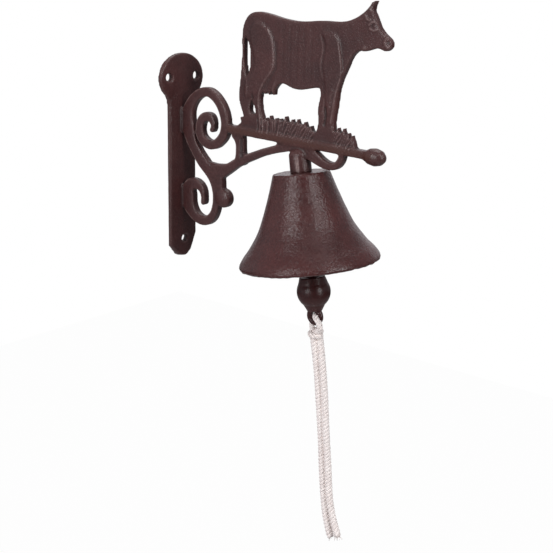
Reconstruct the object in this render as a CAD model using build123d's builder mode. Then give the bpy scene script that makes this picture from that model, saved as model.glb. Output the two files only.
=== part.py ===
from build123d import *
import math
import os

# A wall bell of cast iron. X points out from the wall, Z points up, and the
# origin lies on the wall midway between the two upper screw holes.
# Every length is in millimetres and every angle in degrees.

# Wall plate
head_width = 40.0
head_height = 32.6
head_drop = 0.8
head_thickness = 4.0
edge_thickness = 2.8
shaft_width = 24.6
shaft_thickness = 4.4
crown_inset = 0.5
neck_curve = [(12.3, -18.5), (13.1, -14.6), (15.4, -10.9)]
foot_radius = 4.0
foot_corners = [(-12.3, -115.4), (-6.0, -123.2), (1.0, -124.8), (6.2, -121.4), (12.3, -109.5)]

# Screw holes in the wall plate
screw_radius = 2.6
screw_sink_radius = 3.4
screw_face = 3.5
upper_screw_spacing = 25.4
lower_screw_drop = 111.7

# Scrolled web, cast on the centre line of the plate
web_thickness = 5.4
web_edge_radius = 0.8
bud_radius = 6.3
bud_place = (41.7, -77.5)

# Bar that carries the cow
bar_thickness = 6.0
bar_height = 5.0
bar_start = (45.0, -30.2)
bar_end = (156.0, -34.0)

# Bud at the end of the bar: distance past the bar's end, and radius there, set a little low
bar_bud_profile = [(-2.6, 2.6), (1.8, 4.8), (5.8, 5.4), (9.9, 4.4), (12.3, 2.3)]
bar_bud_length = 12.9
bar_bud_drop = 0.4

# Cow and grass
cow_thickness = 4.6
muscle_height = 0.6
muscle_slope = 1.4
grass_thickness = 4.4

# The bell, the clapper and the cord lean out from the wall as they go down
crown_centre = (106.35, 0.0, -50.85)
bell_lean = 8.8
clapper_lean = 9.8
eye_lean = 6.2
cord_lean = 3.9

# Stem above the bell, part of the bracket
stem_radius = 6.85
stem_length = 15.0
stem_dome = 4.0

# Bell, as (radius, distance below the crown)
crown_thickness = 4.0
crown_edge = [(17.3, 0.0), (17.9, 0.25), (18.16, 0.8)]
bell_outside = [
    (18.16, 0.8),
    (20.1, 7.0),
    (24.5, 20.1),
    (29.25, 32.1),
    (32.4, 38.2),
    (37.7, 46.1),
    (42.1, 51.2),
    (44.6, 55.1),
    (45.1, 57.0),
]
bell_lip = [(45.1, 57.0), (43.4, 58.7), (41.6, 57.5)]
bell_inside = [
    (41.6, 57.5),
    (39.6, 53.6),
    (34.6, 47.8),
    (29.4, 40.2),
    (26.0, 33.0),
    (21.4, 21.0),
    (17.3, 8.2),
    (15.2, crown_thickness),
]

# Eye bolt, washer and nut that hold the bell under the stem
bolt_radius = 2.5
bolt_depth = 9.0
thread_clearance = 0.05
bolt_hole_clearance = 0.3
washer_radius = 6.5
washer_thickness = 1.2
nut_width = 8.0
nut_height = 4.0
bolt_eye_radius = 4.5
bolt_eye_wire = 1.8
bolt_eye_drop = 17.5

# Chain link between the eye bolt and the clapper
link_wire = 1.4
link_inner_width = 5.5
link_play = 0.15
link_length = 11.35

# Clapper
clapper_eye_radius = 4.2
clapper_eye_wire = 1.6
shank_radius = 2.75
ball_drop = 54.6
ball_radius = 10.9
shoulder_rise = 9.8
shoulder_radius = 8.2
shoulder_edge_radius = 9.6
shoulder_height = 4.6
neck_top_radius = 7.3
neck_end_radius = 4.8
neck_length = 4.4
cord_eye_drop = 16.3
cord_eye_radius = 4.3
cord_eye_wire = 1.9

# Cotton cord, doubled through the clapper's lower eye and knotted below it
cord_radius = 2.0
loop_sag = 0.2
loop_bend_radius = 4.3
knot_drop = 10.8
knot_ring_radius = 3.0
knot_ring_wire = 2.5
knot_core_radius = 2.9
knot_core_height = 6.4
tail_left = [
    (120.3, -1.3, -153.2),
    (123.4, 0.2, -174.8),
    (126.2, -0.3, -200.0),
    (128.4, 0.2, -225.0),
    (130.2, -0.2, -247.5),
    (132.2, 0.2, -267.5),
    (134.9, -0.1, -282.4),
    (138.9, 0.2, -294.7),
]
tail_right = [
    (123.6, 1.3, -153.4),
    (128.8, -0.2, -173.4),
    (131.6, 0.3, -199.0),
    (134.3, -0.2, -223.1),
    (136.7, 0.2, -244.0),
    (139.1, -0.2, -264.5),
    (142.0, 0.1, -279.8),
    (146.8, -0.2, -291.0),
]

# Centre line of the scroll as (x, z, width): from the tip of the upper coil,
# round the coil and over the top, down the S curve and into the lower coil.
scroll = [
    (31.5, -32.6, 3.0),
    (32.2, -28.4, 3.9),
    (30.2, -25.2, 5.4),
    (26.2, -24.4, 6.0),
    (22.0, -27.0, 6.2),
    (20.2, -32.0, 6.6),
    (20.9, -37.4, 6.8),
    (25.0, -41.5, 6.6),
    (31.8, -42.7, 6.2),
    (38.2, -39.3, 6.3),
    (42.2, -33.8, 6.7),
    (43.1, -27.3, 6.7),
    (41.0, -19.2, 6.6),
    (35.5, -12.1, 6.2),
    (28.0, -8.3, 6.2),
    (20.0, -9.8, 6.2),
    (12.4, -16.4, 7.6),
    (9.0, -25.0, 10.0),
    (9.6, -32.0, 11.2),
    (12.0, -40.5, 9.2),
    (17.4, -49.2, 8.2),
    (24.5, -56.8, 8.6),
    (31.2, -63.4, 7.6),
    (34.5, -71.0, 6.0),
    (35.4, -79.0, 5.5),
    (34.1, -87.0, 5.7),
    (29.5, -93.6, 6.2),
    (22.5, -95.8, 6.6),
    (14.4, -92.4, 7.9),
    (9.3, -84.6, 11.4),
    (9.1, -77.4, 10.9),
    (11.8, -72.0, 8.4),
    (17.0, -71.3, 6.8),
    (21.5, -73.7, 5.3),
    (23.5, -78.4, 3.9),
    (23.4, -83.0, 3.0),
]

# Lower arm, from the S curve up to the bar
arm = [
    (30.0, -60.5, 7.0),
    (37.0, -59.6, 9.6),
    (44.6, -57.4, 7.4),
    (53.0, -52.3, 6.0),
    (63.5, -47.4, 5.4),
    (75.5, -42.4, 4.9),
    (88.0, -38.5, 5.2),
    (100.0, -35.4, 5.8),
    (110.0, -34.4, 6.0),
]

# Spur that joins the lower arm to the bud
spur = [(37.0, -61.0, 7.0), (38.4, -66.0, 6.0), (38.9, -71.0, 5.4), (39.4, -76.0, 5.4)]

# Curl that the lower arm ends in, beyond the stem
curl = [
    (106.0, -36.0, 6.0),
    (112.0, -37.4, 8.2),
    (117.8, -39.9, 7.4),
    (122.8, -42.4, 6.1),
    (128.6, -43.9, 5.0),
    (134.3, -42.9, 4.5),
    (137.5, -39.2, 4.2),
    (138.1, -34.0, 4.6),
]

# Strut between the bar and the lower arm
strut = [
    (54.0, -33.2, 9.6),
    (55.4, -35.8, 8.0),
    (56.1, -38.8, 6.8),
    (56.3, -42.6, 6.5),
    (56.5, -46.2, 7.4),
    (56.9, -48.8, 9.4),
]

# Small fills that round the corners between the web's bands
corner_fill_thickness = 4.0
corner_fills = [
    [(27.5, -54.4), (30.2, -58.0), (37.8, -55.2)],
    [(41.4, -64.2), (42.6, -60.0), (48.8, -58.8)],
    [(87.4, -34.0), (86.9, -36.4), (90.0, -38.0), (94.0, -34.0)],
]

# Cow outline as (x, z), in stretches that meet at corners
cow_back = [
    (57.4, 14.0),
    (57.7, 30.0),
    (60.0, 39.2),
    (65.2, 44.0),
    (73.5, 44.9),
    (86.0, 42.8),
    (104.0, 40.8),
    (122.0, 42.0),
    (138.5, 42.6),
    (147.5, 46.1),
    (153.0, 50.2),
    (155.6, 53.4),
]
cow_horn = [(155.6, 53.4), (158.5, 54.6), (157.1, 51.6), (156.8, 49.0)]
cow_face = [
    (156.8, 49.0),
    (159.1, 45.4),
    (162.4, 39.4),
    (167.0, 35.4),
    (170.0, 32.4),
    (169.6, 29.0),
    (166.6, 27.2),
    (162.6, 28.2),
    (157.0, 27.6),
    (152.4, 26.2),
    (149.0, 26.5),
]
cow_front = [
    (149.0, 26.5),
    (144.2, 23.8),
    (140.4, 17.2),
    (136.1, 8.0),
    (133.9, 0.5),
    (132.9, -8.0),
    (131.6, -15.0),
    (132.6, -24.0),
]
cow_foreleg = [(118.6, -24.0), (119.8, -16.5), (119.6, -9.0), (121.0, -2.0), (120.4, 2.4)]
cow_belly = [(120.4, 2.4), (113.0, 1.5), (104.0, 0.0), (96.5, 1.3), (91.6, 2.7), (87.9, 1.8)]
cow_udder = [
    (87.9, 1.8),
    (85.0, -1.2),
    (84.2, -4.9),
    (82.4, -3.9),
    (80.8, -5.4),
    (79.2, -4.2),
    (77.4, -5.4),
    (74.0, -4.4),
]
cow_hindleg = [(74.0, -4.4), (73.0, -10.0), (74.2, -17.0), (77.6, -24.0)]
cow_rear = [(59.8, -24.0), (57.6, -16.0), (55.4, -10.0), (55.8, -2.0), (56.8, 6.0), (57.4, 14.0)]

# Openings cut right through the cow: beside the tail, and between the hind legs
tail_gap = [
    (61.2, 29.0),
    (64.0, 24.4),
    (64.9, 16.4),
    (64.0, 8.4),
    (61.8, 4.6),
    (59.8, 9.6),
    (59.0, 19.0),
]
hock_gap = [(66.5, -9.0), (69.0, -13.2), (69.4, -18.6), (66.2, -19.0), (64.1, -14.0)]

# Muscles that stand out from both faces of the cow
haunch = [
    (60.4, -6.0),
    (62.0, 2.6),
    (66.6, 8.0),
    (67.2, 20.0),
    (64.6, 31.0),
    (70.0, 40.0),
    (78.6, 36.0),
    (83.6, 26.0),
    (83.4, 12.3),
    (77.0, 1.8),
    (71.4, -5.4),
    (65.4, -8.6),
]
shoulder = [
    (121.4, 34.0),
    (124.0, 25.0),
    (122.4, 15.0),
    (124.4, 4.0),
    (124.6, -6.0),
    (127.6, -13.0),
    (130.0, -6.0),
    (132.4, 3.0),
    (136.6, 13.0),
    (135.6, 25.0),
    (129.0, 36.0),
]

# Grass line as (x, z), from the wall outwards
grass_line = [
    (53.0, -28.0),
    (57.4, -24.8),
    (56.4, -21.2),
    (59.6, -21.6),
    (76.0, -22.2),
    (84.0, -20.8),
    (100.0, -20.8),
    (109.0, -21.2),
    (117.0, -24.8),
    (131.0, -22.4),
    (139.6, -23.0),
    (144.6, -26.8),
    (147.2, -32.0),
]
blade_tips = [
    (77.6, -20.5),
    (81.4, -18.6),
    (86.0, -20.0),
    (89.4, -19.8),
    (93.8, -17.7),
    (99.1, -19.4),
    (103.6, -18.8),
    (109.3, -19.4),
    (113.9, -21.6),
    (134.6, -20.8),
    (138.8, -20.8),
    (142.2, -22.7),
    (145.0, -24.5),
    (146.4, -27.4),
]
blade_width = 3.4
blade_height = 4.2

os.makedirs("parts", exist_ok=True)
standing = (Align.CENTER, Align.CENTER, Align.MIN)


def hanging_plane(origin, lean):
    """Plane in the middle of the bracket whose Y axis points up a leaning line."""
    across = (math.cos(math.radians(lean)), 0, math.sin(math.radians(lean)))
    return Plane(origin=origin, x_dir=across, z_dir=(0, -1, 0))


def cross_plane(plane, drop):
    """Plane square to a hanging plane's line, facing down, a distance below its origin."""
    return Plane(origin=plane.from_local_coords(Vector(0, -drop, 0)), x_dir=plane.x_dir, z_dir=plane.y_dir * -1)


def edge_plane(plane, drop):
    """Plane through a hanging plane's line that faces away from the wall."""
    return Plane(origin=plane.from_local_coords(Vector(0, -drop, 0)), x_dir=(0, 1, 0), z_dir=plane.x_dir)


def mirrored(point):
    """The same point on the other side of a sketch's upright axis."""
    return (-point[0], point[1])


def band(stations):
    """Face of a strip that follows (x, z, width) stations and has round ends."""
    points = [Vector(x, z) for x, z, width in stations]
    lefts, rights, headings = [], [], []
    for i, (x, z, width) in enumerate(stations):
        before = points[max(i - 1, 0)]
        after = points[min(i + 1, len(points) - 1)]
        heading = (after - before).normalized()
        sideways = Vector(-heading.Y, heading.X) * (width / 2)
        headings.append(heading)
        lefts.append(points[i] + sideways)
        rights.append(points[i] - sideways)
    tip = points[-1] + headings[-1] * (stations[-1][2] / 2)
    tail = points[0] - headings[0] * (stations[0][2] / 2)
    with BuildSketch() as strip:
        with BuildLine():
            Spline(*lefts)
            ThreePointArc(lefts[-1], tip, rights[-1])
            Spline(*rights[::-1])
            ThreePointArc(rights[0], tail, lefts[0])
        make_face()
    return strip.sketch


def shrunk(outline, inset):
    """Points of a closed outline, drawn counterclockwise or clockwise, moved inwards."""
    points = [Vector(x, z) for x, z in outline]
    neighbours = list(zip(points[-1:] + points[:-1], points, points[1:] + points[:1]))
    turning = sum(before.X * here.Y - here.X * before.Y for before, here, after in neighbours)
    inwards = math.copysign(inset, turning)
    moved = []
    for before, here, after in neighbours:
        heading = (after - before).normalized()
        moved.append(here + Vector(-heading.Y, heading.X) * inwards)
    return moved


def cord_tube(points):
    """Tube along a route, with an arc at each corner as large as its runs allow."""
    route = [Vector(*p) for p in points]
    radii = []
    for before, here, after in zip(route, route[1:], route[2:]):
        arriving, leaving = here - before, after - here
        turn = math.radians(arriving.get_angle(leaving))
        radii.append(0.45 * min(arriving.length, leaving.length) / math.tan(turn / 2))
    print("cord radii", [round(r) for r in radii])
    with BuildPart() as tube:
        with BuildLine() as path:
            FilletPolyline(*route, radius=radii)
        with BuildSketch(Plane(origin=route[0], z_dir=route[1] - route[0])):
            Circle(cord_radius)
        sweep(path=path.wires()[0])
    length = path.wires()[0].length
    section = math.pi * cord_radius**2
    print("cord length", round(length, 1), "volume ratio", round(tube.part.volume / (section * length), 4))
    return tube.part


# Wall plate: a flat outline, with a dome on its oval head and a crown on its shaft
with BuildSketch() as shaft_outline:
    with BuildLine():
        Polyline((shaft_width / 2, -head_drop), (-shaft_width / 2, -head_drop), *foot_corners, close=True)
    make_face()
    fillet(shaft_outline.vertices().group_by(Axis.Y)[0:4], radius=foot_radius)

with BuildSketch() as plate_outline:
    add(shaft_outline.sketch)
    with Locations((0, -head_drop)):
        Ellipse(head_width / 2, head_height / 2)
    with BuildLine():
        Line(mirrored(neck_curve[0]), neck_curve[0])
        ThreePointArc(*neck_curve)
        Line(neck_curve[-1], mirrored(neck_curve[-1]))
        ThreePointArc(*[mirrored(point) for point in neck_curve[::-1]])
    make_face()

dome_rise = head_thickness - edge_thickness
dome_width = head_width - 2 * crown_inset
dome_radius = ((dome_width / 2) ** 2 + dome_rise**2) / (2 * dome_rise)
with BuildPart() as plate_head:
    with BuildSketch(Plane.YZ.offset(edge_thickness / 2)):
        with Locations((0, -head_drop)):
            Ellipse(head_width / 2 - crown_inset, head_height / 2 - crown_inset)
    extrude(amount=2 * head_thickness)
    with Locations((head_thickness - dome_radius, 0, -head_drop)):
        Sphere(dome_radius, mode=Mode.INTERSECT)

crown_rise = head_thickness - edge_thickness
crown_width = shaft_width - 2 * crown_inset
crown_radius = ((crown_width / 2) ** 2 + crown_rise**2) / (2 * crown_rise)
crown_slope = (shaft_thickness - head_thickness) / lower_screw_drop
with BuildPart() as plate_shaft:
    with BuildSketch(Plane.YZ.offset(edge_thickness / 2)):
        add(shaft_outline.sketch)
        offset(amount=-crown_inset, mode=Mode.REPLACE)
    extrude(amount=2 * shaft_thickness)
    with Locations(Plane(origin=(head_thickness - crown_radius, 0, -head_drop), z_dir=(-crown_slope, 0, 1))):
        Cylinder(crown_radius, 4 * lower_screw_drop, mode=Mode.INTERSECT)

with BuildPart() as plate:
    with BuildSketch(Plane.YZ):
        add(plate_outline.sketch)
    extrude(amount=edge_thickness)
    add(plate_shaft.part)
    add(plate_head.part)

# Scrolled web with its bar, arm, strut, curl and bud
with BuildPart() as web:
    with BuildSketch(Plane.XZ):
        for stations in (scroll, arm, strut, curl, spur):
            add(band(stations))
        with Locations(bud_place):
            Circle(bud_radius)
    extrude(amount=web_thickness / 2, both=True)
    fillet(web.faces().filter_by(Axis.Y).edges(), radius=web_edge_radius)
    with BuildSketch(Plane.XZ):
        for corners in corner_fills:
            with BuildLine():
                Polyline(*corners, close=True)
            make_face()
    extrude(amount=corner_fill_thickness / 2, both=True)

bar_run = Vector(*bar_end) - Vector(*bar_start)
bar_middle = ((bar_start[0] + bar_end[0]) / 2, (bar_start[1] + bar_end[1]) / 2)
bar_bud_origin = (bar_end[0], 0, bar_end[1] - bar_bud_drop)
with BuildPart() as bar:
    with BuildSketch(Plane.XZ):
        add(band([(*bar_start, bar_height), (*bar_middle, bar_height), (*bar_end, bar_height)]))
    extrude(amount=bar_thickness / 2, both=True)
    with BuildSketch(Plane(origin=bar_bud_origin, x_dir=(bar_run.X, 0, bar_run.Y), z_dir=(0, -1, 0))):
        with BuildLine():
            Polyline(
                (bar_bud_profile[0][0], 0),
                *bar_bud_profile,
                (bar_bud_length, 0),
                close=True,
            )
        make_face()
    revolve(axis=Axis(bar_bud_origin, (bar_run.X, 0, bar_run.Y)))

# Cow, with its openings and its raised muscles
with BuildPart() as cow:
    with BuildSketch(Plane.XZ):
        with BuildLine():
            Spline(*cow_back)
            Polyline(*cow_horn)
            Spline(*cow_face)
            Spline(*cow_front)
            Line(cow_front[-1], cow_foreleg[0])
            Spline(*cow_foreleg)
            Spline(*cow_belly)
            Polyline(*cow_udder)
            Spline(*cow_hindleg)
            Line(cow_hindleg[-1], cow_rear[0])
            Spline(*cow_rear)
        make_face()
    extrude(amount=cow_thickness / 2, both=True)
    with BuildSketch(Plane.XZ):
        for gap in (tail_gap, hock_gap):
            with BuildLine():
                Spline(*gap, periodic=True)
            make_face()
    extrude(amount=cow_thickness, both=True, mode=Mode.SUBTRACT)

with BuildPart() as muscles:
    for outline in (haunch, shoulder):
        for side in (-1, 1):
            with BuildPart(mode=Mode.PRIVATE) as swell:
                for depth, inset in ((0, 0), (cow_thickness / 2, 0), (cow_thickness / 2 + muscle_height, muscle_slope)):
                    with BuildSketch(Plane(origin=(0, side * depth, 0), x_dir=(1, 0, 0), z_dir=(0, -1, 0))):
                        with BuildLine():
                            Spline(*shrunk(outline, inset), periodic=True)
                        make_face()
                loft(ruled=True)
            add(swell.part)

# Grass: a low bank on the bar, with blades along its top
with BuildPart() as grass:
    with BuildSketch(Plane.XZ):
        with BuildLine():
            Polyline(*grass_line, (grass_line[-1][0], bar_end[1]), (grass_line[0][0], bar_start[1]), close=True)
        make_face()
        for x, z in blade_tips:
            with BuildLine():
                Polyline(
                    (x - blade_width / 2, z - blade_height),
                    (x, z),
                    (x + blade_width / 2, z - blade_height),
                    close=True,
                )
            make_face()
    extrude(amount=grass_thickness / 2, both=True)

# Stem that the bell is bolted to, square to the bell's line
bell_plane = hanging_plane(crown_centre, bell_lean)
bell_axis = Axis(bell_plane.origin, bell_plane.y_dir)
with BuildPart() as stem:
    with BuildSketch(bell_plane):
        with BuildLine():
            Polyline((0, stem_length), (0, 0), (stem_radius, 0), (stem_radius, stem_length - stem_dome))
            ThreePointArc(
                (stem_radius, stem_length - stem_dome),
                (0.7 * stem_radius, stem_length - 0.3 * stem_dome),
                (0, stem_length),
            )
        make_face()
    revolve(axis=bell_axis)

# The bracket is one casting of all these forms, drilled for its screws and for the bolt
screw_planes = [
    Plane(origin=(screw_face, side * upper_screw_spacing / 2, 0), z_dir=(1, 0, 0)) for side in (-1, 1)
]
screw_planes.append(Plane(origin=(shaft_thickness, 0, -lower_screw_drop), z_dir=(1, 0, 0)))
with BuildPart() as bracket:
    add(plate.part)
    add(web.part)
    add(bar.part)
    add(grass.part)
    add(cow.part)
    add(muscles.part)
    add(stem.part)
    with Locations(screw_planes):
        CounterSinkHole(screw_radius, screw_sink_radius, depth=2 * shaft_thickness, counter_sink_angle=90)
    with Locations(cross_plane(bell_plane, 0)):
        Hole(bolt_radius + thread_clearance, depth=bolt_depth + 1)

# Bell, open below, with a flat crown that the bolt passes through
with BuildPart() as bell:
    with BuildSketch(bell_plane):
        with BuildLine():
            Polyline((0, -crown_thickness), (0, 0), (crown_edge[0][0], 0))
            ThreePointArc(*[(radius, -drop) for radius, drop in crown_edge])
            Spline(*[(radius, -drop) for radius, drop in bell_outside])
            ThreePointArc(*[(radius, -drop) for radius, drop in bell_lip])
            Spline(*[(radius, -drop) for radius, drop in bell_inside])
            Line((bell_inside[-1][0], -crown_thickness), (0, -crown_thickness))
        make_face()
    revolve(axis=bell_axis)
    with Locations(cross_plane(bell_plane, crown_thickness)):
        Hole(bolt_radius + bolt_hole_clearance, depth=crown_thickness + 1)

# Eye bolt: its shank goes up through the bell into the stem
shank_end = bolt_eye_drop - bolt_eye_radius + 0.6
with BuildPart() as eye_bolt:
    with Locations(cross_plane(bell_plane, -bolt_depth)):
        Cylinder(bolt_radius, bolt_depth + shank_end, align=standing)
    with Locations(edge_plane(bell_plane, bolt_eye_drop)):
        Torus(bolt_eye_radius, bolt_eye_wire)

with BuildPart() as washer:
    with BuildSketch(cross_plane(bell_plane, crown_thickness)):
        Circle(washer_radius)
        Circle(bolt_radius + bolt_hole_clearance, mode=Mode.SUBTRACT)
    extrude(amount=washer_thickness)

with BuildPart() as lock_nut:
    with BuildSketch(cross_plane(bell_plane, crown_thickness + washer_thickness)):
        RegularPolygon(nut_width / 2, 6, major_radius=False)
        Circle(bolt_radius + thread_clearance, mode=Mode.SUBTRACT)
    extrude(amount=nut_height)

# Chain link: an oval ring that hangs in the bolt's eye and swings in the plane of the bracket.
# Drops of the link and the clapper are measured from the lowest wire of the bolt's eye.
swing_centre = bell_plane.from_local_coords(Vector(0, -bolt_eye_drop - bolt_eye_radius, 0))
swing_plane = hanging_plane(swing_centre, clapper_lean)
link_top = bolt_eye_wire + link_play + link_wire
link_bottom = link_top - link_length
link_side = link_inner_width / 2 + link_wire
with BuildPart() as clapper_link:
    with BuildLine(swing_plane) as link_path:
        Line((link_side, link_top - link_side), (link_side, link_bottom + link_side))
        ThreePointArc((link_side, link_bottom + link_side), (0, link_bottom), (-link_side, link_bottom + link_side))
        Line((-link_side, link_bottom + link_side), (-link_side, link_top - link_side))
        ThreePointArc((-link_side, link_top - link_side), (0, link_top), (link_side, link_top - link_side))
    link_start = swing_plane.from_local_coords(Vector(link_side, link_top - link_side, 0))
    with BuildSketch(Plane(origin=link_start, z_dir=swing_plane.y_dir * -1)):
        Circle(link_wire)
    sweep(path=link_path.wires()[0])

# Clapper: its top eye rides on the link, and its lower eye, a little bent, takes the cord
clapper_eye_drop = clapper_eye_radius - link_bottom - link_wire - link_play - clapper_eye_wire
shank_start = clapper_eye_drop + clapper_eye_radius - 0.5
ball_centre = swing_plane.from_local_coords(Vector(0, -ball_drop, 0))
eye_plane = hanging_plane(ball_centre, eye_lean)
cord_eye_centre = eye_plane.from_local_coords(Vector(0, -cord_eye_drop, 0))
with BuildPart() as clapper:
    with Locations(edge_plane(swing_plane, clapper_eye_drop)):
        Torus(clapper_eye_radius, clapper_eye_wire)
    with Locations(cross_plane(swing_plane, shank_start)):
        Cylinder(shank_radius, ball_drop - shank_start, align=standing)
    with Locations(cross_plane(swing_plane, ball_drop - shoulder_rise)):
        Cone(shoulder_radius, shoulder_edge_radius, shoulder_height, align=standing)
    with Locations(ball_centre):
        Sphere(ball_radius)
    with Locations(cross_plane(eye_plane, math.sqrt(ball_radius**2 - neck_top_radius**2))):
        Cone(neck_top_radius, neck_end_radius, neck_length, align=standing)
    with Locations(Plane(origin=cord_eye_centre, z_dir=(0, 1, 0))):
        Torus(cord_eye_radius, cord_eye_wire)

# Cord: a loop through the clapper's lower eye, closed by a knot
cord_plane = hanging_plane(cord_eye_centre, cord_lean)
loop_plane = edge_plane(cord_plane, 0)
arc_height = -loop_sag - loop_bend_radius
leg_foot = (0.7 * cord_radius, -knot_drop)
leg_run = math.hypot(leg_foot[0], leg_foot[1] - arc_height)
leg_angle = math.atan2(leg_foot[1] - arc_height, leg_foot[0]) + math.acos(loop_bend_radius / leg_run)
arc_end = (loop_bend_radius * math.cos(leg_angle), arc_height + loop_bend_radius * math.sin(leg_angle))
with BuildPart() as cord_loop:
    with BuildLine(loop_plane) as loop_path:
        Line(leg_foot, arc_end)
        ThreePointArc(arc_end, (0, -loop_sag), mirrored(arc_end))
        Line(mirrored(arc_end), mirrored(leg_foot))
    loop_wire = loop_path.wires()[0]
    with BuildSketch(Plane(origin=loop_wire @ 0, z_dir=loop_wire % 0)):
        Circle(cord_radius)
    sweep(path=loop_wire)

with BuildPart() as cord_knot:
    with Locations(cross_plane(cord_plane, knot_drop)):
        Torus(knot_ring_radius, knot_ring_wire)
        Cylinder(knot_core_radius, knot_core_height)
    add(cord_loop.part)

# The two free ends of the cord start against the knot
with BuildPart() as cord_tail_left:
    add(cord_tube(tail_left))
    add(cord_knot.part, mode=Mode.SUBTRACT)

with BuildPart() as cord_tail_right:
    add(cord_tube(tail_right))
    add(cord_knot.part, mode=Mode.SUBTRACT)

pieces = {
    "bracket": bracket.part,
    "bell": bell.part,
    "eye_bolt": eye_bolt.part,
    "washer": washer.part,
    "lock_nut": lock_nut.part,
    "clapper_link": clapper_link.part,
    "clapper": clapper.part,
    "cord_knot": cord_knot.part,
    "cord_tail_left": cord_tail_left.part,
    "cord_tail_right": cord_tail_right.part,
}
for name, piece in pieces.items():
    piece.label = name
    export_step(piece, f"parts/{name}.step")
    print(name, len(piece.solids()), round(piece.volume))
print("swing centre", swing_centre, "link foot", swing_plane.from_local_coords(Vector(0, link_bottom, 0)))
print("ball", ball_centre, "cord eye", cord_eye_centre)
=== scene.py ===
import math

import bmesh
import bpy
import numpy as np
from mathutils import Matrix, Vector, kdtree, noise


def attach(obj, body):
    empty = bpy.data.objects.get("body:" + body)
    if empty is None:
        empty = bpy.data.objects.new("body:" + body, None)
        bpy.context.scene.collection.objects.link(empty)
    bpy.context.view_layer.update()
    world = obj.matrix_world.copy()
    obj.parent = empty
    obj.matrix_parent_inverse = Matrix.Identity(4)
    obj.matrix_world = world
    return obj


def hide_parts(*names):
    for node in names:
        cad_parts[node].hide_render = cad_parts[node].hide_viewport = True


# A cast iron wall bell with a cow on its bracket, dressed for the render.
# X points out from the wall, Z points up, and the bracket's middle plane is Y = 0.
# Forms are worked out in millimetres, and handed to Blender in metres.
MM = 0.001

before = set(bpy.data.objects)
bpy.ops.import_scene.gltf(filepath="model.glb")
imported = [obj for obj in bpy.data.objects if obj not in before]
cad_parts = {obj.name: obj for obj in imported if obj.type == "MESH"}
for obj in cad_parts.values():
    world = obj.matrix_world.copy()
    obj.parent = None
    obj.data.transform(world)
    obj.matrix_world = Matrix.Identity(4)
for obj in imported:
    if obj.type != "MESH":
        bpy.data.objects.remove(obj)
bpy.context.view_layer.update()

# Camera, as it stood for the photograph
CAMERA_PLACE = (511.9, -513.7, 74.8)
CAMERA_YAW = 39.53
CAMERA_PITCH = 16.53
CAMERA_ROLL = 1.13
LENS = 69.0
SENSOR_WIDTH = 36.0

# Points and leans that the bell and the cord hang by
CROWN_CENTRE = Vector((106.35, 0.0, -50.85))
BELL_LEAN = 8.8
CORD_EYE = Vector((120.77, 0.0, -142.60))
CORD_LEAN = 3.9


# Shader building

# The Mix node's colour sockets share their names with others, so they go by number
MIX_FACTOR = 0
MIX_FIRST = 6
MIX_SECOND = 7
MIX_RESULT = 2


class Shade:
    """A shader socket in a Python expression: each operator adds its Math node."""

    def __init__(self, paint, socket):
        self.paint = paint
        self.socket = socket

    def __add__(self, other):
        return self.paint.math("ADD", self, other)

    def __radd__(self, other):
        return self.paint.math("ADD", other, self)

    def __sub__(self, other):
        return self.paint.math("SUBTRACT", self, other)

    def __rsub__(self, other):
        return self.paint.math("SUBTRACT", other, self)

    def __mul__(self, other):
        return self.paint.math("MULTIPLY", self, other)

    def __rmul__(self, other):
        return self.paint.math("MULTIPLY", other, self)

    def clamped(self):
        """The value kept between 0 and 1."""
        return self.paint.math("ADD", self, 0.0, use_clamp=True)

    def contrasted(self, gain, middle=0.5):
        """Noise spread out about its mean, which becomes the middle value."""
        return ((self - 0.5) * gain + middle).clamped()


class Paint:
    """A node tree that is written as expressions."""

    def __init__(self, tree):
        self.tree = tree
        self.tree.nodes.clear()

    def node(self, kind, settings=None, numbered=None, out=0, **named):
        """Any node: its settings first, then the values or links of its numbered and named sockets."""
        made = self.tree.nodes.new(kind)
        for key, value in (settings or {}).items():
            setattr(made, key, value)
        sockets = dict(numbered or {})
        for key, value in named.items():
            sockets[key.replace("_", " ")] = value
        for key, value in sockets.items():
            if isinstance(value, Shade):
                self.tree.links.new(value.socket, made.inputs[key])
            else:
                made.inputs[key].default_value = value
        return Shade(self, made.outputs[out]) if made.outputs else None

    def math(self, operation, first, second, use_clamp=False):
        settings = {"operation": operation, "use_clamp": use_clamp}
        return self.node("ShaderNodeMath", settings, {0: first, 1: second})

    def mix(self, factor, first, second):
        """Mix of two colours."""
        colours = {MIX_FACTOR: factor, MIX_FIRST: first, MIX_SECOND: second}
        return self.node("ShaderNodeMix", {"data_type": "RGBA"}, colours, out=MIX_RESULT)

    def noise(self, scale, detail, roughness):
        """Noise over the piece, with scale as its number of grains in a metre."""
        place = self.node("ShaderNodeTexCoord", out="Object")
        return self.node(
            "ShaderNodeTexNoise", Vector=place, Scale=scale, Detail=detail, Roughness=roughness
        )

    def stored(self, name):
        """A number that the mesh holds at each vertex, and 0 where it holds none."""
        return self.node("ShaderNodeAttribute", {"attribute_name": name}, out="Fac").clamped()

    def bump(self, height, depth, strength=1.0):
        """A normal from a height, where 1 stands for a depth in millimetres."""
        return self.node("ShaderNodeBump", Strength=strength, Distance=depth * MM, Height=height)

    def ray(self, kind):
        """1 for one kind of ray, such as Is Camera Ray, and 0 for the others."""
        return self.node("ShaderNodeLightPath", out=kind)

    def surface(self, **inputs):
        """Principled surface joined to the material's output."""
        shader = self.node("ShaderNodeBsdfPrincipled", **inputs)
        self.node("ShaderNodeOutputMaterial", Surface=shader)


def shaded(name):
    """A new material and the builder of its nodes."""
    material = bpy.data.materials.new(name)
    material.use_nodes = True
    return material, Paint(material.node_tree)


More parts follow.
